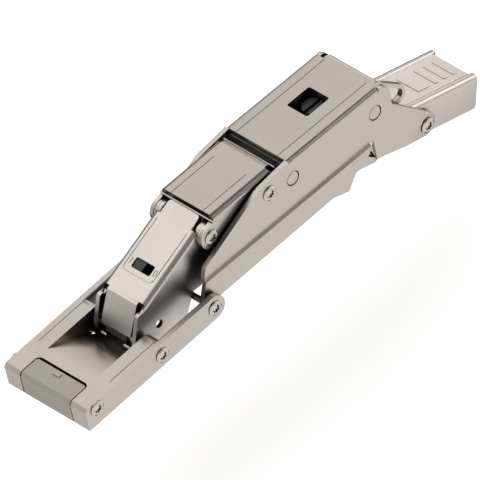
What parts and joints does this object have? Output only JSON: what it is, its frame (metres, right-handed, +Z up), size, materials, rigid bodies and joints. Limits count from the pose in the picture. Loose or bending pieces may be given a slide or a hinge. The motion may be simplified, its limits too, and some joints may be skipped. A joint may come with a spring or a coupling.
{
  "type": "concealed cabinet hinge",
  "caption": "All-metal concealed cabinet hinge with a flat door plate, folded lever and link, long sheet arm and a stamped mounting channel, shown fully open.",
  "frame": {"origin": "centre of the door plate's flat seat on the door, between the plate's front face and the front of its rails", "axes": "+X from the door plate along the hinge to the cabinet side, +Y across the hinge's width, +Z up from the door's face"},
  "size_m": [0.1225, 0.0248, 0.0312],
  "materials": {
    "nickel_sheet": "satin",
    "nickel_lever": "satin",
    "nickel_casting": "satin",
    "nickel_pin": "polished",
    "black_plastic": "matte",
    "cam_grey": "satin",
    "spring_wire": "satin",
    "tab_white": "matte"
  },
  "bodies": {
    "channel": {"mount_channel": "nickel_lever", "channel_pin": "nickel_pin", "channel_washers": "nickel_pin"},
    "arm": {"arm_channel": "nickel_sheet", "front_rivet": "nickel_sheet", "rear_rivet": "nickel_sheet", "spring_housing": "black_plastic", "adjusting_cam": "cam_grey", "release_spring": "spring_wire", "bridge_pin": "nickel_pin", "bridge_washers": "nickel_pin", "plate_washers": "nickel_pin"},
    "release": {"release_lever": "nickel_sheet"},
    "bridge": {"bridge_link": "nickel_sheet", "joint_pin": "nickel_pin", "lever_washers": "nickel_pin"},
    "lever": {"lever_channel": "nickel_lever", "damper_housing": "black_plastic", "lever_spring": "spring_wire"},
    "switch": {"damper_switch": "black_plastic"},
    "plate": {"cup_body": "nickel_sheet", "lever_pin": "nickel_pin", "lever_roller": "black_plastic", "arm_pin": "nickel_pin", "lock_pin": "nickel_pin"},
    "flap": {"lock_flap": "nickel_casting", "lock_tab": "tab_white"}
  },
  "joints": [
    {"name": "arm_tilt", "type": "hinge", "parent": "channel", "child": "arm", "pos_m": [0.09299, 0, -0.00225], "axis": [0, 1, 0], "range_deg": [0, 30]},
    {"name": "door_swing", "type": "hinge", "parent": "arm", "child": "plate", "pos_m": [0.0263, 0, 0.00295], "axis": [0, 1, 0], "range_deg": [0, 95]},
    {"name": "bridge_swing", "type": "hinge", "parent": "arm", "child": "bridge", "pos_m": [0.04919, 0, 0.0159], "axis": [0, 1, 0], "range_deg": [0, 95]},
    {"name": "lever_swing", "type": "hinge", "parent": "bridge", "child": "lever", "pos_m": [0.03319, 0, 0.0159], "axis": [0, 1, 0], "range_deg": [-95, 0]},
    {"name": "switch_slide", "type": "slide", "parent": "lever", "child": "switch", "axis": [0, 1, 0], "range_m": [-0.0024, 0]},
    {"name": "release_swing", "type": "hinge", "parent": "arm", "child": "release", "pos_m": [0.08059, 0, 0.0125], "axis": [0, 1, 0], "range_deg": [0, 10], "stiffness_Nm_per_rad": 0.02, "springref_deg": -17.19},
    {"name": "flap_swing", "type": "hinge", "parent": "plate", "child": "flap", "pos_m": [-0.0091, 0, 0.0042], "axis": [0, 1, 0], "range_deg": [0, 15]}
  ],
  "couplings": [
    {"joint": "bridge_swing", "follows": "door_swing", "ratio": 1},
    {"joint": "lever_swing", "follows": "door_swing", "ratio": -1}
  ]
}
